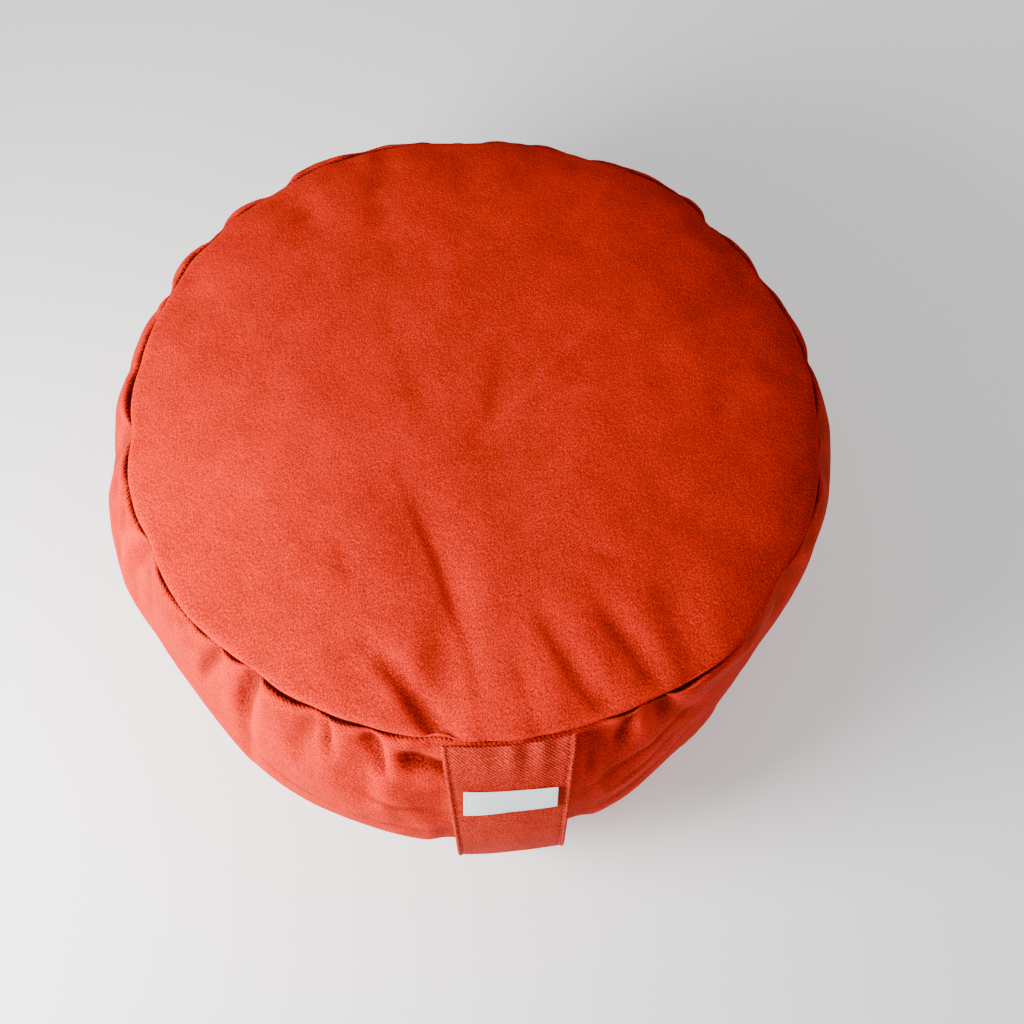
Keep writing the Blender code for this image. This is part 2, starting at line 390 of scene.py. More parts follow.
@dataclass(frozen=True)
class Fold:
    """A soft fold along a line on the flat cloth, in millimetres.

    The skew is how much gentler the fold is on the line's left, as one looks along it. A negative
    depth is a ridge.
    """

    line: tuple[Pair, ...]
    width: float
    depth: float
    skew: float = 1.0
    ends: FoldEnds = FoldEnds.BOTH

    def rise(self, flat: Array) -> Array:
        """How far the fold raises the cloth.

        Args:
            flat: points on the flat cloth, in metres.

        Returns:
            The rise of each point in metres, negative in the fold's trough.
        """
        points = np.array(self.line) * MM
        steps = np.diff(points, axis=0)
        lengths = np.linalg.norm(steps, axis=1)
        before = np.concatenate(([0.0], np.cumsum(lengths)))
        nearest = np.full(len(flat), np.inf)
        offset, along = np.zeros((2, len(flat)))
        for start, step, length, passed in zip(points[:-1], steps, lengths, before[:-1]):
            way = step / length
            off = flat - start
            share = np.clip(off @ way, 0.0, length)
            gap = np.linalg.norm(off - share[:, None] * way, axis=1)
            closer = gap < nearest
            nearest[closer] = gap[closer]
            offset[closer] = (way[0] * off[:, 1] - way[1] * off[:, 0])[closer]
            along[closer] = ((passed + share) / before[-1])[closer]
        width = self.width * MM
        left = 0.5 + 0.5 * np.tanh(offset / (0.5 * width))
        reach = width * (1.0 + (self.skew - 1.0) * left)
        fade = np.ones(len(flat))
        if self.ends is not FoldEnds.FIRST:
            fade = fade * ramp(along, 1.0, 0.6)
        if self.ends is not FoldEnds.LAST:
            fade = fade * ramp(along, 0.0, 0.4)
        eased = 0.25 + 0.75 * fade * fade * (3.0 - 2.0 * fade)
        return -self.depth * MM * hump(nearest, reach) * eased


def folds(table: dict[FoldEnds, tuple]) -> list[Fold]:
    """The folds of a table whose rows give a line, a width, a depth and perhaps a skew."""
    return [Fold(*row, ends=ends) for ends, rows in table.items() for row in rows]


def bearing_of(points: Array) -> Array:
    """The bearing of points in radians, 0 towards -Y and positive towards +X."""
    return np.arctan2(points[:, 0], -points[:, 1])


def read_all(parts: Sequence, name: str, width: int = 1, kind: type = float) -> Array:
    """Reads one property of all of a mesh's points, edges, faces or corners.

    Args:
        parts: the mesh's own list of them.
        name: the property.
        width: how many numbers it holds.
        kind: whether they are of type float or int.

    Returns:
        The numbers, in rows where there are several to a part.
    """
    values = np.zeros(len(parts) * width, kind)
    parts.foreach_get(name, values)
    return values if width == 1 else values.reshape(-1, width)


def coordinates(mesh: Mesh) -> Array:
    """A mesh's points as an array."""
    return read_all(mesh.vertices, "co", 3)


def normals(mesh: Mesh) -> Array:
    """A mesh's point normals as an array."""
    return read_all(mesh.vertex_normals, "vector", 3)


def set_coordinates(mesh: Mesh, points: Array) -> None:
    """Moves a mesh's points to new places, in the mesh's order."""
    mesh.vertices.foreach_set("co", points.ravel())
    mesh.update()


def set_measure(mesh: Mesh, name: str, values: Array) -> None:
    """Stores a named number at each point of a mesh."""
    held = mesh.attributes.get(name) or mesh.attributes.new(name, "FLOAT", "POINT")
    held.data.foreach_set("value", values.astype(np.float32))


def get_measure(mesh: Mesh, name: str) -> Array:
    """Reads a number that each point of a mesh carries."""
    return read_all(mesh.attributes[name].data, "value")


def spread(mesh: Mesh, values: Array, rounds: int) -> Array:
    """Averages values over the mesh's neighbouring points.

    Args:
        mesh: the mesh whose edges join the neighbours.
        values: one row for each point.
        rounds: how many times each point is averaged with its neighbours.

    Returns:
        The smoothed values.
    """
    one, two = read_all(mesh.edges, "vertices", 2, int).T
    count = len(mesh.vertices)
    links = np.bincount(one, minlength=count) + np.bincount(two, minlength=count)
    for _ in range(rounds):
        total = [np.bincount(one, part[two], count) + np.bincount(two, part[one], count) for part in values.T]
        values = 0.5 * values + 0.5 * np.column_stack(total) / links[:, None]
    return values


def mark_relief(mesh: Mesh, rounds: int, reach: float) -> None:
    """Stores how far each point stands above or below the smoothed surface.

    Args:
        mesh: the mesh.
        rounds: how widely the surface is smoothed.
        reach: the height that counts as a full ridge.
    """
    points = coordinates(mesh)
    above = np.sum((points - spread(mesh, points, rounds)) * normals(mesh), axis=1)
    above = above - spread(mesh, above[:, None], 4 * rounds)[:, 0]
    # The cloth's colour paints shade into the folds and highlight onto the ridges from this measure.
    set_measure(mesh, "relief", ramp(above, -reach, reach))


def merged_copy(node: str) -> BMesh:
    """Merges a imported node's loose triangles.

    Args:
        node: the node's name.

    Returns:
        The node as one closed surface.
    """
    solid = bmesh.new()
    solid.from_mesh(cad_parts[node].data)
    bmesh.ops.remove_doubles(solid, verts=solid.verts, dist=5e-6)
    return solid


def choose(made: Object) -> None:
    """Makes an object the only one selected, and the active one.

    Args:
        made: the object.
    """
    bpy.ops.object.select_all(action="DESELECT")
    made.select_set(True)
    bpy.context.view_layer.objects.active = made


def link(name: str, data: ID) -> Object:
    """Brings a new object into the scene.

    Args:
        name: the object's name.
        data: its mesh, camera or light.

    Returns:
        The object, the only one selected.
    """
    made = bpy.data.objects.new(name, data)
    bpy.context.scene.collection.objects.link(made)
    choose(made)
    return made


def new_piece(name: str, net: BMesh) -> Object:
    """Makes an object of a net.

    Args:
        name: the object's name.
        net: its points and faces, which are freed.

    Returns:
        The object.
    """
    mesh = bpy.data.meshes.new(name)
    net.to_mesh(mesh)
    net.free()
    return link(name, mesh)


def apply_modifier(made: Object, kind: str, **settings: object) -> None:
    """Adds a modifier to an object and applies it.

    Args:
        made: the object.
        kind: the modifier's type.
        settings: its properties.
    """
    choose(made)
    modifier = made.modifiers.new(kind.lower(), kind)
    for name, value in settings.items():
        setattr(modifier, name, value)
    bpy.ops.object.modifier_apply(modifier=modifier.name)


def dress(made: Object, material: Material, slot: str, *replaced: str) -> None:
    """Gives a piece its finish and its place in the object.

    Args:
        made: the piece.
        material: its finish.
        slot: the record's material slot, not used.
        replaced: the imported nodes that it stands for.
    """
    made.data.materials.clear()
    made.data.materials.append(material)
    made.data.shade_smooth()
    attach(made, BODY)
    if replaced:
        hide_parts(*replaced)


TOP_FOLDS = folds(
    {
        FoldEnds.FIRST: (
            (((-57, -116), (-44, -132), (-35, -146), (-26, -161)), 4.2, 2.6, 1.3),
            (((17, -104), (21, -116), (32, -140), (39, -150)), 3.6, 1.1, 1.8),
            (((44, -104), (49, -115), (56, -126), (62, -139)), 4.4, 1.3, 1.6),
            (((76, -88), (76, -111), (81, -143)), 8.0, 1.3, 1.4),
            (((-14, -118), (-12, -145), (-11, -158)), 3.4, 0.5, 1.5),
            (((5, -126), (10, -147), (11, -158)), 3.4, 0.5, 1.5),
        ),
        FoldEnds.BOTH: (
            (((-74, -108), (-64, -124), (-54, -140)), 7.0, 0.8, 1.5),
            (((-37, -36), (-29, -60), (-23, -78), (-15, -112), (-10, -141)), 3.4, 1.5, 3.5),
            (((-35, 41), (-27, 12), (-26, -9)), 5.5, 0.6, 2.0),
            (((87, 56), (79, 51), (43, 17), (10, -18), (-5, -37)), 5.0, -0.7, 2.0),
            (((18, 30), (12, 9), (8, -7), (0, -24)), 4.5, 0.6, 2.0),
            (((-78, 131), (-74, 110)), 8.0, 1.0),
            (((40, -82), (62, -92)), 4.0, 0.5),
            (((-67, -62), (-59, -89)), 5.0, 0.6, 2.0),
            (((117, 2), (112, -27)), 6.0, 0.5, 1.5),
        ),
        FoldEnds.LAST: (
            (((-36, 154), (-38, 128), (-36, 96)), 7.0, 1.2, 1.5),
        ),
    }
)
"""Folds of the top panel, on the part's own X and Y."""

BAND_FOLDS = folds(
    {
        FoldEnds.LAST: (
            (((-136, -5), (-141, -20), (-144, -34)), 3.2, 2.8),
            (((-116, -5), (-120, -24), (-120, -46)), 3.8, 4.4),
            (((-78, -5), (-75, -20)), 2.2, 3.2),
            (((-58, -8), (-51, -26)), 3.6, 3.8),
            (((52, -6), (47, -24)), 3.6, 3.6),
            (((68, -5), (70, -20)), 3.4, 2.2),
            (((-198, -5), (-201, -24)), 4.0, 1.2),
            (((-259, -4), (-259, -22)), 4.4, 1.8),
            (((358, -4), (362, -24)), 4.0, 1.8),
            (((436, -4), (432, -26)), 3.8, 1.6),
            (((-420, -4), (-424, -26)), 4.0, 1.8),
            (((-380, -4), (-376, -22)), 3.4, 1.4),
            (((-338, -4), (-341, -20)), 3.6, 1.2),
        ),
        FoldEnds.FIRST: (
            (((-49, -9), (-38, -15), (-24, -20)), 4.6, 4.4),
        ),
        FoldEnds.BOTH: (
            (((34, -12), (32, -34)), 2.6, 1.2),
            (((-115, -54), (-92, -60), (-72, -60)), 2.0, 0.8),
            (((-66, -38), (-46, -44), (-28, -46)), 1.8, 0.9),
            (((-62, -60), (-44, -64), (-27, -64)), 1.6, 0.7),
            (((30, -42), (52, -38), (90, -30)), 1.9, 1.1),
            (((30, -56), (56, -52), (84, -44)), 1.7, 0.9),
            (((30, -70), (62, -68), (104, -58)), 2.2, 0.7),
            (((170, -44), (205, -38), (232, -40)), 2.6, 0.8),
            (((290, -50), (330, -44), (352, -46)), 2.6, 0.9),
            (((398, -40), (440, -48), (486, -46)), 2.8, 0.9),
            (((-480, -52), (-440, -48), (-404, -54)), 2.6, 0.9),
            (((-345, -46), (-300, -50), (-262, -46)), 2.6, 0.8),
        ),
    }
)
"""Folds of the side band, on its length from the strap and its drop below the top seam."""

FULLER_BEARINGS = (*range(-165, -15, 15), -12, 12, *range(30, 195, 15))
FULLER_BY = (
    *(4.6, 4.6, 2.6, 0.0, -2.4, -0.2, 0.2, -3.0, -2.6, -0.2, 0.4),
    *(-0.8, -2.6, -5.4, -3.2, 1.0, 5.4, 1.6, -1.0, 3.4, 1.8, 0.0, 1.6),
)
"""How much fuller the filled cover is than its solid, in millimetres at bearings in degrees."""


@dataclass
class FilledCushion:
    """The filled cover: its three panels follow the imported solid, and its cloth is simulated.

    Every point carries "below" and "above", its ways along the cloth below the top seam and above
    the base seam.
    """

    node: str = "cushion_body"
    patch_radius: float = 0.100
    radius: float = 0.17
    growth: float = 0.045
    pressure: float = 3.0
    last_frame: int = 20
    wrinkle_gain: float = 0.85
    swell_kept: float = 0.10
    wrinkle_cap: float = 3.2 * MM
    lump_height: float = 0.55 * MM
    lump_size: float = 0.035
    taut_left: float = 0.85
    taut_right: float = 0.5
    top_gain: float = 0.15
    band_rim: float = 0.03
    shoulder_reach: float = 5.5 * MM
    shoulder_up: float = 3.6 * MM
    shoulder_out: float = 1.6 * MM
    rim_back: float = 1.7 * MM
    seam_line: float = 0.6 * MM
    seam_width: float = 1.2 * MM
    seam_depth: float = 1.6 * MM
    lip_off: float = 3.6 * MM
    lip_width: float = 1.9 * MM
    lip_height: float = 0.5 * MM
    gather_height: float = 0.7 * MM
    base_rim: float = 12.0 * MM
    strap_clear: float = 0.034
    strap_shade: Pair = (0.052, 0.036)

    def build(self, material: Material) -> Object:
        """Makes the cushion.

        Args:
            material: the cloth.

        Returns:
            The finished piece.
        """
        solid = merged_copy(self.node)
        self._read_rings(solid)
        cover = self._net(BVHTree.FromBMesh(solid))
        solid.free()
        self.mesh = cover.data
        apply_modifier(cover, "SUBSURF", levels=1, render_levels=1)
        self._calm()
        self._puff()
        self._fill(cover)
        apply_modifier(cover, "SUBSURF", levels=1, render_levels=1)
        self._press()
        self._sew()
        mark_relief(cover.data, 10, 0.42 * MM)
        self._map_cloth()
        dress(cover, material, "cushion_cloth", self.node)
        return cover

    def _read_rings(self, solid: BMesh) -> None:
        """Reads the solid's points as rings, from the top panel's middle to the foot's edge.

        Args:
            solid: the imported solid.
        """
        middle = [v for v in solid.verts if math.hypot(v.co.x, v.co.y) < 5.0 * MM]
        top = max(middle, key=lambda v: v.co.z)
        steps = len(top.link_edges)
        columns: list[list[Vector]] = [[] for _ in range(steps)]
        for vertex in solid.verts:
            bearing = math.atan2(vertex.co.x, -vertex.co.y)
            if vertex not in middle:
                columns[round(bearing / (math.tau) * steps) % steps].append(vertex.co.copy())
        half = 0.5 * top.co.z
        lines = []
        for column in columns:
            column.sort(key=lambda p: math.atan2(p.z - half, math.hypot(p.x, p.y)), reverse=True)
            foot = next(number for number, point in enumerate(column) if point.z < 0.01 * MM)
            lines.append(column[: foot + 1])
        across = range(min(len(line) for line in lines))
        self.rings = [np.array([line[ring] for line in lines]) for ring in across]
        reach = [self._ring_radius(ring) for ring in across]
        self.top_seam = next(i for i in range(1, len(reach)) if reach[i] < reach[i - 1])
        self.base_seam = next(i for i in range(len(reach) - 2, 0, -1) if reach[i] < reach[i + 1])

    def _ring_radius(self, ring: int) -> float:
        """The mean radius of one ring."""
        return float(np.hypot(self.rings[ring][:, 0], self.rings[ring][:, 1]).mean())

    def _net(self, solid: BVHTree) -> Object:
        """Lays a net of even quads over the solid.

        Args:
            solid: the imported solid.

        Returns:
            The cover, whose points carry their distances from both seams.
        """
        reach = np.array([self._ring_radius(ring) for ring in range(len(self.rings))])
        height = np.array([ring[:, 2].mean() for ring in self.rings])
        walked = np.concatenate(([0.0], np.cumsum(np.hypot(np.diff(reach), np.diff(height)))))
        wide = np.nonzero(reach >= self.patch_radius)[0]
        steps = len(self.rings[0])
        net = bmesh.new()
        rows, passed = [], []
        for ring in range(wide[0], wide[-1] + 1):
            rows.append([net.verts.new(point) for point in self.rings[ring]])
            passed += [walked[ring]] * steps
        for upper, lower in zip(rows[:-1], rows[1:]):
            for step in range(steps):
                after = (step + 1) % steps
                net.faces.new((upper[step], lower[step], lower[after], upper[after]))
        for row, ring, way in ((rows[0], wide[0], -1.0), (rows[-1], wide[-1], 1.0)):
            for vertex in self._close_panel(net, row, way < 0.0):
                out = math.hypot(vertex.co.x, vertex.co.y)
                passed.append(walked[ring] + way * (reach[ring] - out))
                if way < 0.0:
                    over = Vector((vertex.co.x, vertex.co.y, 1.0))
                    vertex.co.z = solid.ray_cast(over, Vector((0.0, 0.0, -1.0)))[0].z
        bmesh.ops.recalc_face_normals(net, faces=net.faces)
        cover = new_piece("filled_cushion", net)
        set_measure(cover.data, "below", np.array(passed) - walked[self.top_seam])
        set_measure(cover.data, "above", walked[self.base_seam] - np.array(passed))
        return cover

    def _close_panel(
        self, net: BMesh, row: Sequence[BMVert], is_top: bool
    ) -> list[BMVert]:
        """Fills the round hole in a panel with a square net that meets its ring evenly.

        Args:
            net: the cover's net.
            row: the ring round the hole.
            is_top: whether the panel is the top one.

        Returns:
            The new points, at the height of the floor.
        """
        steps = len(row)
        span = steps // 4
        turn = math.tau / steps
        nodes = [math.sqrt(2.0) * math.sin(turn * (number - span / 2)) for number in range(span + 1)]
        reach = [math.hypot(vertex.co.x, vertex.co.y) for vertex in row]
        square, inner = [], []
        for v in nodes:
            line = []
            for u in nodes:
                x, y = u * math.sqrt(1.0 - 0.5 * v * v), v * math.sqrt(1.0 - 0.5 * u * u)
                place = math.atan2(x, -y) / turn
                if max(abs(u), abs(v)) > 1.0 - 1e-6:
                    line.append(row[round(place) % steps])
                    continue
                radius = float(np.interp(place, np.arange(steps), reach, period=steps))
                line.append(net.verts.new((x * radius, y * radius, 0.0)))
                inner.append(line[-1])
            square.append(line)
        for lower, upper in zip(square[:-1], square[1:]):
            for left in range(span):
                corners = (lower[left], lower[left + 1], upper[left + 1], upper[left])
                net.faces.new(corners if is_top else corners[::-1])
        return inner

    def _read(self) -> None:
        """Reads the cover's points as they are now, and where they lie on the cloth."""
        self.points, self.normals = coordinates(self.mesh), normals(self.mesh)
        self.below, self.above = get_measure(self.mesh, "below"), get_measure(self.mesh, "above")
        self.sewn = np.minimum(np.abs(self.below), np.abs(self.above))
        self.bearing = bearing_of(self.points)

    def _at_strap(self) -> Array:
        """Whether each point lies behind the strap, below the top seam."""
        x, y = self.points[:, 0], self.points[:, 1]
        return (np.abs(x) < self.strap_clear) & (y < 0.0) & (self.below > 0.0)

    def _covered(self) -> Array:
        """How far the strap covers each point, 1 behind its middle and 0 well beside it."""
        return (self.points[:, 1] < 0.0) * ramp(np.abs(self.points[:, 0]), *self.strap_shade)

    def _calm(self) -> None:
        """Draws the top panel taut away from the strap, and fills out the sides."""
        self._read()
        points, below = self.points, self.below
        bearing = np.degrees(self.bearing)
        taut = ramp(np.abs(bearing + 5.0), 22.0, 47.0) * ramp(-below, 1.0 * MM, 6.0 * MM)
        taut *= np.where(bearing < 0.0, self.taut_left, self.taut_right)
        stops = np.arange(below.min(), 0.0, 3.0 * MM)
        belt = np.digitize(below, stops)
        belts = [belt == number for number in range(1, len(stops) + 1) if np.any(belt == number)]
        ways, levels = ([part[held].mean() for held in belts] for part in (below, points[:, 2]))
        uneven = np.where(below < -MM, points[:, 2] - np.interp(below, ways, levels), 0.0)
        points[:, 2] -= taut * (uneven - spread(self.mesh, uneven[:, None], 40)[:, 0])
        rim = ramp(np.abs(bearing), 80.0, 110.0) * ramp(below, -0.04, 0.0)
        share = np.maximum(ramp(below, 0.0, self.band_rim), rim) * ramp(self.above, 0.0, self.band_rim)
        fuller = np.interp(bearing, FULLER_BEARINGS, FULLER_BY, period=360.0) * share
        points[:, :2] *= (1.0 + fuller * MM / self.radius)[:, None]
        set_coordinates(self.mesh, points)

    def _puff(self) -> None:
        """Rounds the band up beside the top seam, and draws the panel's rim back over the seam."""
        self._read()
        points, below = self.points, self.below
        out = points[:, :2] / np.hypot(points[:, 0], points[:, 1]).clip(MM)[:, None]
        share = np.clip(below, 0.0, None) / self.shoulder_reach
        shoulder = share * np.exp(1.0 - share) * (1.0 - self._covered())
        bearing = np.abs(np.degrees(self.bearing))
        far = ramp(bearing, 85.0, 100.0) * ramp(bearing, 168.0, 153.0)
        rim = hump(below + 2.2 * MM, 2.6 * MM) * (below < 1.0 * MM)
        outward = self.shoulder_out * shoulder * (1.0 + 0.5 * far) - self.rim_back * rim
        points[:, :2] += out * outward[:, None]
        points[:, 2] += self.shoulder_up * shoulder * (1.0 + 0.3 * far)
        set_coordinates(self.mesh, points)

    def _fill(self, cover: Object) -> None:
        """Simulates the filled cloth, and keeps the wrinkles that its seams draw up.

        Args:
            cover: the cover, which keeps its general shape.
        """
        self._read()
        held = (self.sewn < 0.4 * MM) | (self.above < -8.0 * MM)
        group = cover.vertex_groups.new(name="sewn")
        group.add(np.nonzero(held)[0].tolist(), 1.0, "REPLACE")
        cloth = cover.modifiers.new("filling", "CLOTH")
        settings = {
            "quality": 5,
            "tension_stiffness": 14.0,
            "compression_stiffness": 14.0,
            "shear_stiffness": 6.0,
            "bending_stiffness": 0.35,
            "shrink_min": -self.growth,
            "use_pressure": True,
            "uniform_pressure_force": self.pressure,
            "vertex_group_mass": group.name,
        }
        for name, value in settings.items():
            setattr(cloth.settings, name, value)
        cloth.settings.effector_weights.gravity = 0.0
        cloth.collision_settings.use_self_collision = False
        cloth.point_cache.frame_start = 1
        cloth.point_cache.frame_end = self.last_frame
        scene = bpy.context.scene
        for moment in range(1, self.last_frame + 1):
            scene.frame_set(moment)
        graph = bpy.context.evaluated_depsgraph_get()
        moved = coordinates(cover.evaluated_get(graph).data) - self.points
        cover.modifiers.remove(cloth)
        cover.vertex_groups.remove(group)
        scene.frame_set(1)
        swelling = spread(self.mesh, moved, 45)
        wrinkle = (moved - swelling) * self.wrinkle_gain + swelling * self.swell_kept
        wrinkle *= np.where(self.below < 0.0, self.top_gain, 1.0)[:, None]
        length = np.linalg.norm(wrinkle, axis=1)
        log.info("cloth moved %.1f mm at most, its wrinkles %.1f mm", moved.max() / MM, length.max() / MM)
        wrinkle *= np.minimum(1.0, self.wrinkle_cap / np.maximum(length, 1e-9))[:, None]
        at_strap = self._at_strap()
        outward = np.sum(wrinkle * self.normals, axis=1)
        wrinkle[at_strap] -= (self.normals * np.maximum(outward, 0.0)[:, None])[at_strap]
        set_coordinates(self.mesh, self.points + wrinkle)

    def _press(self) -> None:
        """Presses the folds and the filling's lumps into the cover."""
        self._read()
        points, below, above = self.points, self.below, self.above
        band = np.column_stack((self.bearing * self._ring_radius(self.top_seam), -below))
        rise = np.zeros(len(points))
        on_band = (below > 0.0) & (above > 0.0)
        for folds, flat, held in ((TOP_FOLDS, points[:, :2], below < 0.0), (BAND_FOLDS, band, on_band)):
            for fold in folds:
                rise[held] += fold.rise(flat[held])
        for share, finer in ((1.0, 1.0), (0.5, 0.4)):
            size = finer * self.lump_size
            rise += np.array([noise.noise(Vector(p) / size) for p in points]) * share * self.lump_height
        rise *= 1.0 - hump(self.sewn, 3.0 * MM)
        # How deep each dent is, kept for the shade that is painted into it.
        set_measure(self.mesh, "dent", ramp(-rise, 0.35 * MM, 3.85 * MM))
        hidden = on_band & self._at_strap()
        rise[hidden] = np.minimum(rise[hidden], 0.0)
        rise[above < -10.0 * MM] = 0.0
        set_coordinates(self.mesh, points + self.normals * rise[:, None])

    def _sew(self) -> None:
        """Draws the thread lines of both seams in, raises their lips, and rests the base."""
        self._read()
        rise = np.zeros(len(self.points))
        for way in (self.below, self.above):
            off = way - self.seam_line
            rise -= self.seam_depth * hump(off, self.seam_width)
            rise += self.lip_height * hump(np.abs(off) - self.lip_off, self.lip_width)
        turns = [Vector((12.0 * math.sin(b), 12.0 * math.cos(b), 0.3)) for b in self.bearing]
        gathers = np.array([noise.noise(turn) for turn in turns])
        rise += gathers * hump(self.sewn, 7.0 * MM) * self.gather_height
        hidden = self._at_strap()
        rise[hidden] = np.minimum(rise[hidden], 0.0)
        points = self.points + self.normals * rise[:, None]
        base = self.above < -self.base_rim
        points[base, 2] = np.minimum(points[base, 2], 0.2 * MM)
        points[:, 2] = np.maximum(points[:, 2], 0.0)
        set_coordinates(self.mesh, points)

    def _map_cloth(self) -> None:
        """Lays the weave on each panel as it was cut, and says where the nap hides the ribs."""
        self._read()
        points, below, above, mesh = self.points, self.below, self.above, self.mesh
        on_top = below < 0.0
        set_measure(mesh, "nap", np.where(on_top, 0.90, 0.15 + 0.60 * ramp(self.sewn, 0.0, 16.0 * MM)))
        # Painted shade: the seam lines and the deeper dents are darkened in the colour, less where the strap
        # covers the seam.
        dark = np.where(on_top, 0.10, 0.16) * get_measure(mesh, "dent")
        for way in (below, above):
            dark += (1.25 - self._covered()) * hump(way - 0.7 * MM, 1.15 * MM)
        set_measure(mesh, "crevice", np.clip(dark, 0.0, 1.0))
        corners = read_all(mesh.loops, "vertex_index", 1, int)
        starts, totals = (read_all(mesh.polygons, name, 1, int) for name in ("loop_start", "loop_total"))
        face_of = np.repeat(np.arange(len(totals)), totals)
        face_below, face_above = (np.bincount(face_of, way[corners]) / totals for way in (below, above))
        on_band = ((face_below > 0.0) & (face_above > -self.base_rim))[face_of]
        bearing = self.bearing[corners]
        first = self.bearing[corners[starts]][face_of]
        bearing -= math.tau * np.round((bearing - first) / (math.tau))
        around = np.column_stack((bearing * self._ring_radius(self.top_seam), -below[corners]))
        places = np.where(on_band[:, None], around, points[corners, :2])
        mesh.uv_layers.new(name="weave").data.foreach_set("uv", places.astype(np.float32).ravel())


@dataclass
class Sheet(ABC):
    """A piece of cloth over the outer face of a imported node, which is read along +Y.

    A place on it is two shares from 0 to 1, across from its left edge and down from its top end.
    The probe is how far apart, and how far from the edges, the points are that give the normal,
    first across and then down.
    """

    node: str
    name: str
    columns: int
    rows: int
    thickness: float
    stitch_inset: float
    stitch_pitch: float
    probe: tuple[Pair, Pair]

    def __post_init__(self) -> None:
        """Reads the node once."""
        solid = merged_copy(self.node)
        self.tree = BVHTree.FromBMesh(solid)
        self.packed = np.array([v.co for v in solid.verts])
        solid.free()
        self._measure()

    @abstractmethod
    def _measure(self) -> None:
        """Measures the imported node."""

    @abstractmethod
    def width(self) -> float:
        """The sheet's width."""

    @abstractmethod
    def length(self) -> float:
        """The sheet's length down from its top end."""

    @abstractmethod
    def surface(self, across: float, down: float) -> Vector:
        """A point on the even outer face."""

    def front(self, x: float, z: float) -> float | None:
        """The outer face's Y at a place, or nothing where the node isn't."""
        hit = self.tree.ray_cast(Vector((x, -1.0, z)), Vector((0.0, 1.0, 0.0)))
        return None if hit[0] is None else hit[0].y

    def column(self, share: float) -> float:
        """Where a column lies across the sheet."""
        return share

    def dressed(self, across: float, down: float) -> Vector:
        """A point on the outer face with all that raises it."""
        return self.surface(across, down)

    def outward(self, across: float, down: float) -> Vector:
        """The outer face's normal.

        Args:
            across: the share across.
            down: the share down.

        Returns:
            The normal, of length 1.
        """
        (u_step, u_rim), (v_step, v_rim) = self.probe
        left, right = max(across - u_step, u_rim), min(across + u_step, 1.0 - u_rim)
        upper, lower = max(down - v_step, v_rim), min(down + v_step, 1.0 - v_rim)
        along = self.surface(across, lower) - self.surface(across, upper)
        side = self.surface(right, down) - self.surface(left, down)
        return along.cross(side).normalized()

    def stitch(self, across: float, down: float) -> Stitch:
        """The point and the normal of a stitch."""
        return self.dressed(across, down), self.outward(across, down)

    def make(self) -> Object:
        """Makes the sheet, with its thickness, its rounded edges and its weave map."""
        shares = [self.column(column / self.columns) for column in range(self.columns + 1)]
        net = bmesh.new()
        uv_layer = net.loops.layers.uv.new("weave")
        flats = {}
        grid = []
        for down in (row / self.rows for row in range(self.rows + 1)):
            grid.append([net.verts.new(self.dressed(across, down)) for across in shares])
            for vertex, across in zip(grid[-1], shares):
                flats[vertex] = (across * self.width(), -down * self.length())
        for upper, lower in zip(grid[:-1], grid[1:]):
            for left in range(self.columns):
                face = net.faces.new((upper[left], lower[left], lower[left + 1], upper[left + 1]))
                for loop in face.loops:
                    loop[uv_layer].uv = flats[loop.vert]
        made = new_piece(self.name, net)
        heights = coordinates(made.data)[:, 2]
        drop = (heights.max() - heights) / (heights.max() - heights.min())
        set_measure(made.data, "nap", np.clip(0.05 + 1.3 * drop, 0.0, 0.75))
        # No painted seam shade on the strap or the label.
        set_measure(made.data, "crevice", np.zeros(len(heights)))
        mark_relief(made.data, 6, 0.30 * MM)
        apply_modifier(made, "SOLIDIFY", thickness=self.thickness, offset=-1.0, use_even_offset=True)
        width = 0.36 * self.thickness
        apply_modifier(made, "BEVEL", width=width, segments=3, limit_method="ANGLE", angle_limit=1.0)
        return made


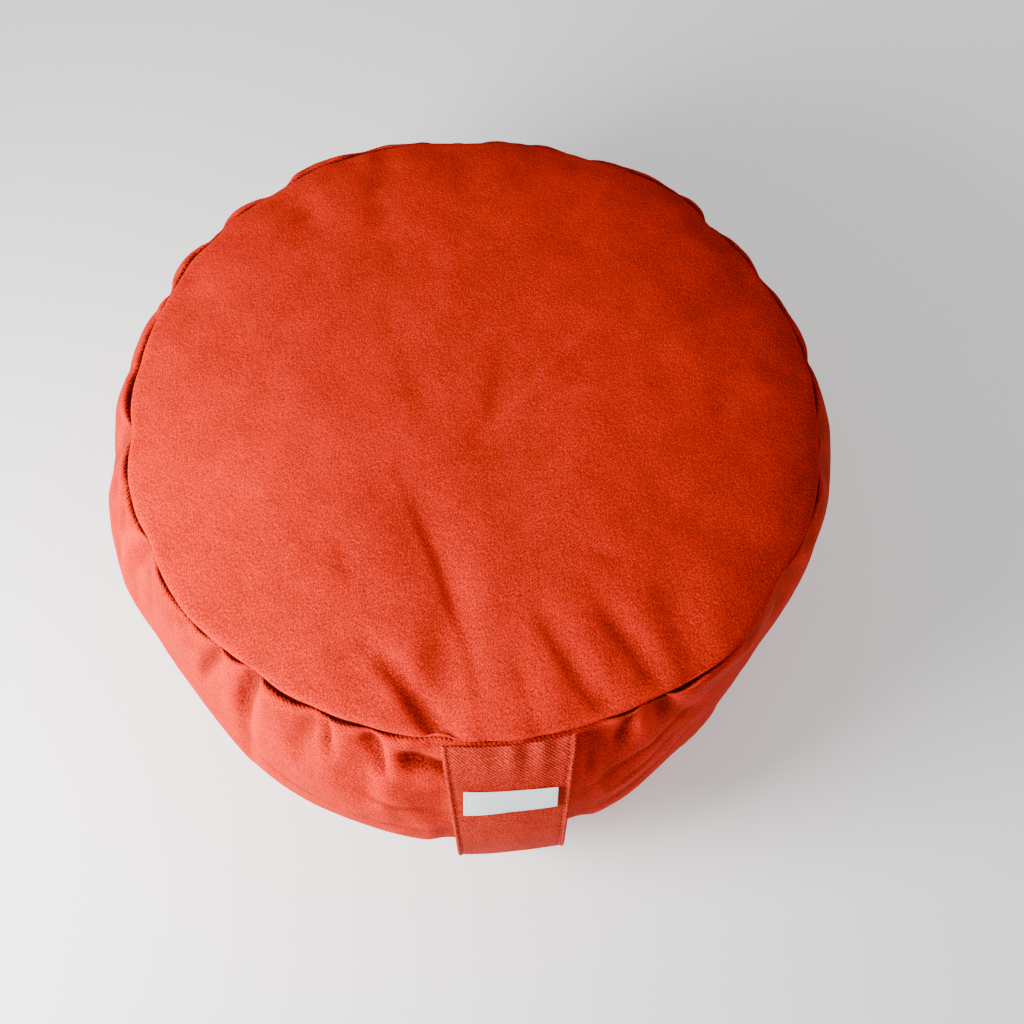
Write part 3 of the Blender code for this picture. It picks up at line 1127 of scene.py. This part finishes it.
@dataclass
class CarryingStrap(Sheet):
    """The folded strap that runs from the top seam to the base seam."""

    node: str = "carrying_strap"
    name: str = "folded_strap"
    columns: int = 56
    rows: int = 150
    thickness: float = 2.0 * MM
    stitch_inset: float = 2.7 * MM
    stitch_pitch: float = 3.0 * MM
    probe: tuple[Pair, Pair] = ((0.1, 0.1), (0.01, 0.0))
    fold_reach: float = 1.1 * MM
    fold_height: float = 0.55 * MM
    flute_height: float = 0.75 * MM
    top_inset: float = 0.15 * MM
    foot_inset: float = 7.0 * MM
    readings: int = 321

    def _measure(self) -> None:
        """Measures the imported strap's edges from its top end to its foot."""
        low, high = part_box(self.node)
        top = high.z - self.top_inset
        self.heights = top + np.linspace(0.0, 1.0, self.readings) ** 2 * (low.z + self.foot_inset - top)
        xs = np.arange(low.x - MM, high.x + MM, 0.25 * MM)
        held = [[x for x in xs if self.front(x, z) is not None] for z in self.heights]
        middle = [(self.front(0.0, z), z) for z in self.heights]
        steps = np.linalg.norm(np.diff(middle, axis=0), axis=1)
        self.walked = np.concatenate(([0.0], np.cumsum(steps)))
        ends = ([line[0] for line in held], [line[-1] for line in held])
        ease = np.ones(9) / 9.0
        self.lefts, self.rights = (
            np.convolve(np.pad(end, 4, mode="edge"), ease, mode="valid") for end in ends
        )

    def length(self) -> float:
        """The strap's length along its outer face."""
        return float(self.walked[-1])

    def width(self) -> float:
        """The strap's widest width."""
        return float((self.rights - self.lefts).max())

    def column(self, share: float) -> float:
        """Where a column lies across the strap, closer together at the edges."""
        return 0.72 * share + 0.28 * 0.5 * (1.0 - math.cos(math.pi * share))

    def surface(self, across: float, down: float) -> Vector:
        """A point on the strap's even outer face.

        Args:
            across: the share across.
            down: the share down.

        Returns:
            The point.
        """
        passed = down * self.length()
        z, left, right = (
            float(np.interp(passed, self.walked, line)) for line in (self.heights, self.lefts, self.rights)
        )
        x = left + (right - left) * across
        inside = min(max(x, left + 0.4 * MM), right - 0.4 * MM)
        y = self.front(inside, z)
        return Vector((x, self.front(0.5 * (left + right), z) if y is None else y, z))

    def dressed(self, across: float, down: float) -> Vector:
        """A point on the strap's outer face with its folded edges, stitch lines and creases.

        Args:
            across: the share across.
            down: the share down.

        Returns:
            The point.
        """
        passed = down * self.length()
        edge = min(across, 1.0 - across) * self.width()
        rise = self.fold_height * hump(edge - self.fold_reach, 0.9 * MM)
        pull = 0.75 + 0.25 * math.cos(math.tau * passed / self.stitch_pitch)
        rise -= 0.50 * MM * pull * hump(edge - self.stitch_inset, 0.55 * MM)
        flute = math.sin(across * math.tau * 4.2 + 0.7) * hump(passed, 13.0 * MM)
        rise += self.flute_height * flute * hump(across - 0.62, 0.30)
        upper_crease = hump(passed - 34.0 * MM + 6.0 * MM * across, 1.1 * MM)
        rise -= 0.55 * MM * upper_crease * (1.0 - min(across / 0.45, 1.0))
        rise -= 0.30 * MM * hump(passed - 47.0 * MM - 3.0 * MM * across, 1.3 * MM)
        rise += 0.25 * MM * noise.noise(Vector((across * 4.0, passed / 0.02, 2.0)))
        return self.surface(across, down) + self.outward(across, down) * float(rise)

    def build(self, material: Material) -> Object:
        """Makes the strap.

        Args:
            material: the strap's cloth.

        Returns:
            The finished piece.
        """
        made = self.make()
        dress(made, material, "strap_cloth", self.node)
        self.width()
        self.length()
        return made

    def stitch_lines(self) -> list[list[Stitch]]:
        """The stitches down the strap's left and right edges."""
        inset = self.stitch_inset / self.width()
        length = self.length()
        downs = [step * self.stitch_pitch / length for step in range(1, int(length / self.stitch_pitch))]
        return [[self.stitch(across, down) for down in downs] for across in (inset, 1.0 - inset)]


@dataclass
class WovenLabel(Sheet):
    """The blank label on the strap, which tapers a little to the right."""

    node: str = "woven_label"
    name: str = "blank_label"
    columns: int = 72
    rows: int = 30
    thickness: float = 0.8 * MM
    stitch_inset: float = 1.1 * MM
    stitch_pitch: float = 2.0 * MM
    probe: tuple[Pair, Pair] = ((0.05, 0.02), (0.1, 0.05))
    sags: tuple[float, ...] = (0.0, 0.07, 0.91, 0.82)

    def _measure(self) -> None:
        """Finds the upper left and right corners, then the lower ones."""
        across, up = self.packed[:, 0], self.packed[:, 2]
        upper, lower = (
            [Vector(self.packed[int(np.argmax(across * x + up * z))]) for x in (-1, 1)] for z in (1, -1)
        )
        self.corners = [upper[end % 2].lerp(lower[end % 2], sag) for end, sag in enumerate(self.sags)]

    def width(self) -> float:
        """The label's width."""
        return (self.corners[1] - self.corners[0]).length

    def length(self) -> float:
        """The label's length down the strap."""
        return (self.corners[2] - self.corners[0]).length

    def surface(self, across: float, down: float) -> Vector:
        """A point on the label's outer face, with its waves and its stitched rim.

        Args:
            across: the share across.
            down: the share down.

        Returns:
            The point.
        """
        upper_left, upper_right, lower_left, lower_right = self.corners
        flat = upper_left.lerp(upper_right, across).lerp(lower_left.lerp(lower_right, across), down)
        probe = flat.lerp((upper_left + lower_right) * 0.5, 0.04)
        edge = min(across, 1.0 - across) * self.width()
        rim = min(edge, min(down, 1.0 - down) * self.length())
        wave = 0.35 * MM * math.sin(across * 5.0 + 0.8) * (0.4 + down)
        press = 0.16 * MM * hump(rim - self.stitch_inset, 0.5 * MM)
        y = self.front(probe.x, probe.z) - max(wave, -0.1 * MM) + press
        return Vector((flat.x, y, flat.z))

    def build(self, material: Material) -> Object:
        """Makes the label.

        Args:
            material: its weave.

        Returns:
            The finished piece.
        """
        made = self.make()
        dress(made, material, "label_cloth", self.node)
        self.width()
        self.length()
        return made

    def stitch_lines(self) -> list[list[Stitch]]:
        """The stitches round the label's edge."""
        u, v = self.stitch_inset / self.width(), self.stitch_inset / self.length()
        turns = ((u, v), (1.0 - u, v), (1.0 - u, 1.0 - v), (u, 1.0 - v), (u, v))
        line = []
        for (u0, v0), (u1, v1) in zip(turns[:-1], turns[1:]):
            run = math.hypot((u1 - u0) * self.width(), (v1 - v0) * self.length())
            count = max(2, round(run / self.stitch_pitch))
            for share in ((step + 0.5) / count for step in range(count)):
                line.append(self.stitch(u0 + (u1 - u0) * share, v0 + (v1 - v0) * share))
        return [line]


@dataclass
class StitchRows:
    """Rows of separate stitches, each one short loop of thread half sunk in the cloth."""

    name: str
    slot: str
    length: float
    radius: float

    def build(self, lines: Sequence[Sequence[Stitch]], material: Material) -> Object:
        """Makes every stitch of the rows as one piece.

        Args:
            lines: for each row, the points and normals of its stitches.
            material: the thread.

        Returns:
            The finished piece.
        """
        pattern = self._one_stitch()
        rows = bmesh.new()
        for line in lines:
            for index, (point, normal) in enumerate(line):
                ahead = line[min(index + 1, len(line) - 1)][0] - line[max(index - 1, 0)][0]
                along = (ahead - normal * ahead.dot(normal)).normalized()
                side = normal.cross(along)
                copy = pattern.copy()
                for vertex in copy.vertices:
                    x, y, z = vertex.co
                    vertex.co = point + along * x + side * y + normal * (z + 0.3 * self.radius)
                rows.from_mesh(copy)
                bpy.data.meshes.remove(copy)
        bpy.data.meshes.remove(pattern)
        bmesh.ops.recalc_face_normals(rows, faces=rows.faces)
        made = new_piece(self.name, rows)
        dress(made, material, self.slot)
        log.info("%s has %d faces", made.name, len(made.data.polygons))
        return made

    def _one_stitch(self) -> Mesh:
        """A stitch along X: a slim barrel whose ends dip into the cloth."""
        bpy.ops.object.select_all(action="DESELECT")
        bpy.ops.mesh.primitive_uv_sphere_add(segments=8, ring_count=7, radius=1.0)
        made = bpy.context.object
        made.scale = (self.radius, self.radius, 0.5 * self.length)
        made.rotation_euler = (0.0, math.radians(90.0), 0.0)
        bpy.ops.object.transform_apply(location=True, rotation=True, scale=True)
        for vertex in made.data.vertices:
            bow = (2.0 * vertex.co.x / self.length) ** 2
            vertex.co.z -= bow * 1.1 * self.radius
        mesh = made.data
        bpy.data.objects.remove(made)
        return mesh


@dataclass
class Studio:
    """The floor, even light from all round, one soft square light and the photograph's camera."""

    floor: PaleFloor
    eye: Place = (-0.0130, -0.3004, 0.6508)
    gaze: Place = (0.0441, 0.4306, -0.9014)
    lens: float = 43.95
    floor_half: float = 6.0
    sky_strength: float = 0.42
    key_place: Place = (-0.47, -0.22, 0.37)
    key_target: Place = (0.0, 0.0, 0.10)
    key_size: float = 0.28
    key_power: float = 11.4
    key_colour: Colour = (1.0, 0.98, 0.96)

    def build(self) -> None:
        """Sets everything up."""
        self._floor()
        self._camera()
        self._lights()

    def _floor(self) -> None:
        """Lays the floor under the base."""
        bpy.ops.object.select_all(action="DESELECT")
        bpy.ops.mesh.primitive_plane_add(size=2.0 * self.floor_half, location=(0.0, 0.0, -0.05 * MM))
        floor = bpy.context.object
        floor.name = "studio_floor"
        bpy.ops.object.transform_apply(location=True, rotation=True, scale=True)
        floor.data.materials.append(self.floor.material())

    def _aim(self, made: Object, place: Place, gaze: Vector) -> None:
        """Puts a camera or a light at a place, where it looks along a direction."""
        made.location = place
        made.rotation_euler = gaze.to_track_quat("-Z", "Y").to_euler()

    def _camera(self) -> None:
        """Places the camera as the photograph was taken."""
        camera = bpy.data.cameras.new("photo_camera")
        camera.lens = self.lens
        camera.sensor_width = 36.0
        camera.clip_start = 0.02
        made = link("photo_camera", camera)
        self._aim(made, self.eye, Vector(self.gaze))
        bpy.context.scene.camera = made

    def _lights(self) -> None:
        """Fills the room with even light, and hangs the soft square light."""
        world = bpy.data.worlds.new("studio_room")
        world.use_nodes = True
        sky = world.node_tree.nodes["Background"]
        sky.inputs["Color"].default_value = (1.0, 1.0, 1.0, 1.0)
        sky.inputs["Strength"].default_value = self.sky_strength
        bpy.context.scene.world = world
        light = bpy.data.lights.new("key_light", "AREA")
        light.shape = "SQUARE"
        light.size = self.key_size
        light.energy = self.key_power
        light.color = self.key_colour
        gaze = Vector(self.key_target) - Vector(self.key_place)
        self._aim(link("key_light", light), self.key_place, gaze)


COVER_TWILL = BrushedTwill(
    name="cover_twill",
    dark=(0.05, 0.002, 0.001),
    deep=(0.27, 0.007, 0.002),
    ground=(0.50, 0.014, 0.003),
    light=(0.82, 0.010, 0.002),
)
STRAP_TWILL = BrushedTwill(
    name="strap_twill",
    dark=(0.06, 0.005, 0.003),
    deep=(0.26, 0.010, 0.005),
    ground=(0.47, 0.019, 0.009),
    light=(0.72, 0.045, 0.022),
    rib_pitch=1.1 * MM,
    sheen=0.06,
)
LABEL_SATIN = WovenSatin(name="label_satin", ground=(0.88, 0.95, 0.98), shade=(0.56, 0.66, 0.73))
STRAP_THREAD = SewingThread(name="strap_thread", ground=(0.66, 0.060, 0.030), shade=(0.36, 0.022, 0.010))
LABEL_THREAD = SewingThread(name="label_thread", ground=(0.90, 0.92, 0.94), shade=(0.50, 0.56, 0.62))
STUDIO_FLOOR = PaleFloor(name="pale_floor", ground=(0.94, 0.94, 0.94))


def main() -> None:
    """Builds the cushion's pieces in order, then the studio."""
    logging.basicConfig(level=logging.INFO, format="%(name)s: %(message)s")
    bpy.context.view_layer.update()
    cushion = FilledCushion().build(COVER_TWILL.material())
    log.info("%s has %d faces", cushion.name, len(cushion.data.polygons))
    strap = CarryingStrap()
    made = strap.build(STRAP_TWILL.material())
    log.info("%s is %.0f mm long", made.name, strap.length() / MM)
    stitches = StitchRows("strap_stitches", "strap_cloth", 2.3 * MM, 0.30 * MM)
    stitches.build(strap.stitch_lines(), STRAP_THREAD.material())
    label = WovenLabel()
    made = label.build(LABEL_SATIN.material())
    log.info("%s is %.0f mm wide", made.name, label.width() / MM)
    stitches = StitchRows("label_stitches", "label_cloth", 1.5 * MM, 0.17 * MM)
    stitches.build(label.stitch_lines(), LABEL_THREAD.material())
    Studio(STUDIO_FLOOR).build()


if __name__ == "__main__":
    main()
